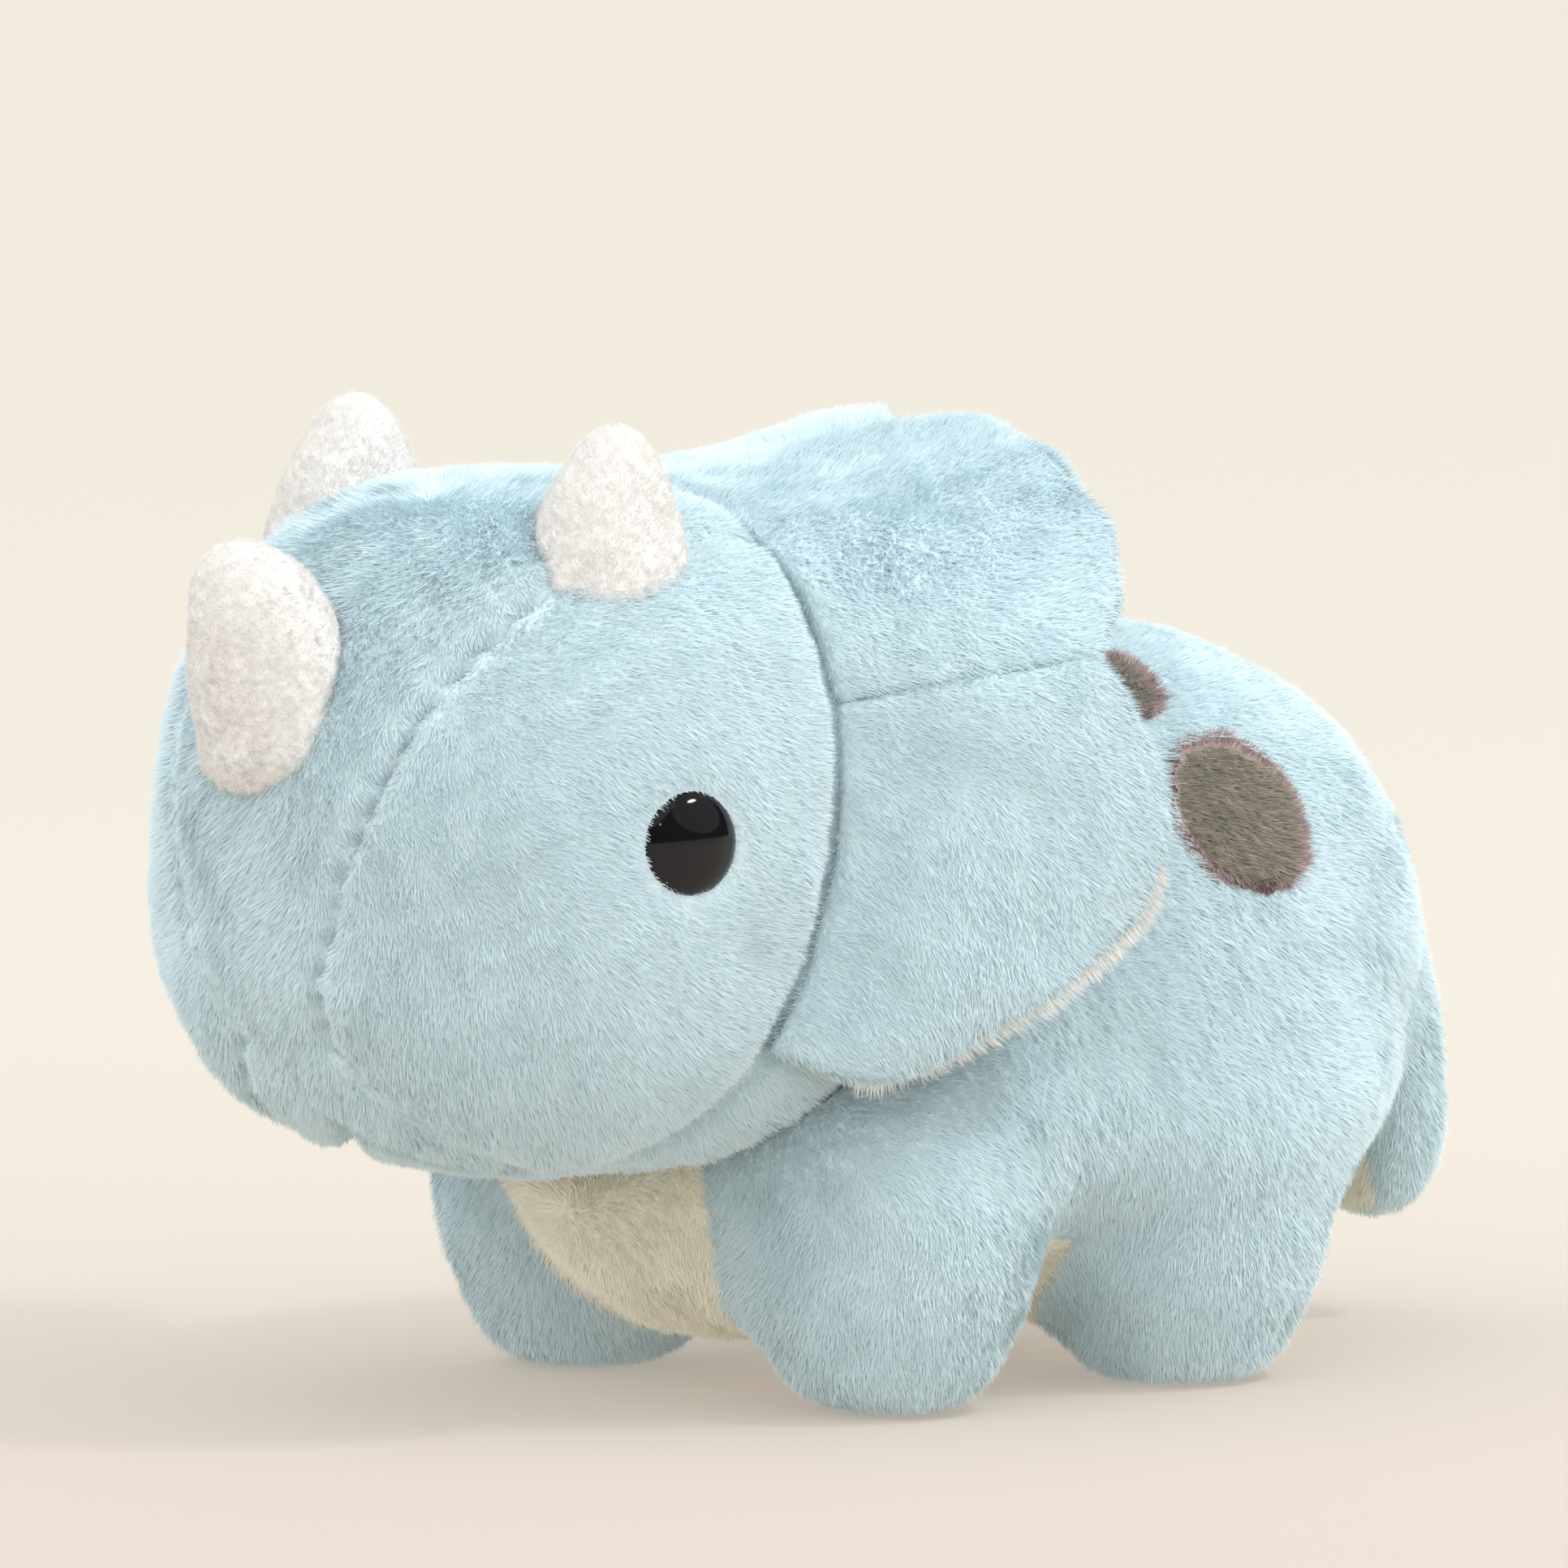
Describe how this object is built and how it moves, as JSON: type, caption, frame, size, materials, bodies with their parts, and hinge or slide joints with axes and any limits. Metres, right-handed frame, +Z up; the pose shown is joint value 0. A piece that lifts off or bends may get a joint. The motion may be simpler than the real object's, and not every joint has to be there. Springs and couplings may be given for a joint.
{
  "type": "stuffed toy dinosaur",
  "caption": "Soft plush baby three-horned dinosaur that stands on short legs, with a round head, a collar frill, stubby horns and a drooping tail that flex on their stuffing",
  "frame": {"origin": "on the floor between the feet, at the centre of the toy's box", "axes": "+Z up, the toy faces -Y, its left side is +X"},
  "size_m": [0.136, 0.2158, 0.136],
  "materials": {
    "blue_plush": "light blue short-pile plush, soft and matt, its nap brushed in swirls",
    "white_plush": "white short-pile plush, matt",
    "cream_plush": "cream short-pile plush, matt",
    "grey_plush": "grey-olive short-pile plush patch, matt",
    "mauve_thread": "fuzzy mauve-brown satin stitching round the spots",
    "black_eye": "glossy black moulded plastic",
    "washer_plastic": "plain moulded plastic locking washer",
    "stuffing": "loose white polyester fibre"
  },
  "bodies": {
    "torso": {"torso_left_panel": "blue_plush", "torso_right_panel": "blue_plush", "belly_panel": "cream_plush", "torso_stuffing": "stuffing", "big_spot_left": "grey_plush", "big_spot_border_left": "mauve_thread", "small_spot_left": "grey_plush", "small_spot_border_left": "mauve_thread", "big_spot_right": "grey_plush", "big_spot_border_right": "mauve_thread", "small_spot_right": "grey_plush", "small_spot_border_right": "mauve_thread"},
    "neck": {"neck_stuffing": "stuffing"},
    "head": {"head_left_panel": "blue_plush", "head_right_panel": "blue_plush", "head_gusset": "blue_plush", "chin_panel": "blue_plush", "head_stuffing": "stuffing", "nose_horn_cover": "white_plush", "nose_horn_stuffing": "stuffing", "brow_horn_left_cover": "white_plush", "brow_horn_left_stuffing": "stuffing", "brow_horn_right_cover": "white_plush", "brow_horn_right_stuffing": "stuffing", "eye_left": "black_eye", "eye_washer_left": "washer_plastic", "eye_right": "black_eye", "eye_washer_right": "washer_plastic", "frill_upper_left": "blue_plush", "frill_batting_upper_left": "stuffing", "frill_lining_upper_left": "cream_plush", "frill_lower_left": "blue_plush", "frill_batting_lower_left": "stuffing", "frill_lining_lower_left": "cream_plush", "frill_upper_right": "blue_plush", "frill_batting_upper_right": "stuffing", "frill_lining_upper_right": "cream_plush", "frill_lower_right": "blue_plush", "frill_batting_lower_right": "stuffing", "frill_lining_lower_right": "cream_plush"},
    "tail": {"tail_top_panel": "blue_plush", "tail_under_panel": "cream_plush", "tail_stuffing": "stuffing"},
    "leg_front_left": {"leg_front_left_cover": "blue_plush", "leg_front_left_sole": "blue_plush", "leg_front_left_stuffing": "stuffing"},
    "leg_front_right": {"leg_front_right_cover": "blue_plush", "leg_front_right_sole": "blue_plush", "leg_front_right_stuffing": "stuffing"},
    "leg_hind_left": {"leg_hind_left_cover": "blue_plush", "leg_hind_left_sole": "blue_plush", "leg_hind_left_stuffing": "stuffing"},
    "leg_hind_right": {"leg_hind_right_cover": "blue_plush", "leg_hind_right_sole": "blue_plush", "leg_hind_right_stuffing": "stuffing"}
  },
  "joints": [
    {"name": "neck_turn", "type": "hinge", "parent": "torso", "child": "neck", "pos_m": [0, -0.0124, 0.0675], "axis": [0, 0, 1], "range_deg": [-8, 8], "stiffness_Nm_per_rad": 2},
    {"name": "head_nod", "type": "hinge", "parent": "neck", "child": "head", "pos_m": [0, -0.0124, 0.0675], "axis": [1, 0, 0], "range_deg": [-8, 3], "stiffness_Nm_per_rad": 3},
    {"name": "tail_lift", "type": "hinge", "parent": "torso", "child": "tail", "pos_m": [0, 0.0861, 0.064], "axis": [1, 0, 0], "range_deg": [-2, 25], "stiffness_Nm_per_rad": 0.5},
    {"name": "leg_front_left_swing", "type": "hinge", "parent": "torso", "child": "leg_front_left", "pos_m": [0.032, -0.0159, 0.029], "axis": [1, 0, 0], "range_deg": [-8, 8], "stiffness_Nm_per_rad": 4},
    {"name": "leg_front_right_swing", "type": "hinge", "parent": "torso", "child": "leg_front_right", "pos_m": [-0.032, -0.0159, 0.029], "axis": [1, 0, 0], "range_deg": [-8, 8], "stiffness_Nm_per_rad": 4},
    {"name": "leg_hind_left_swing", "type": "hinge", "parent": "torso", "child": "leg_hind_left", "pos_m": [0.032, 0.0351, 0.029], "axis": [1, 0, 0], "range_deg": [-8, 8], "stiffness_Nm_per_rad": 4},
    {"name": "leg_hind_right_swing", "type": "hinge", "parent": "torso", "child": "leg_hind_right", "pos_m": [-0.032, 0.0351, 0.029], "axis": [1, 0, 0], "range_deg": [-8, 8], "stiffness_Nm_per_rad": 4}
  ]
}
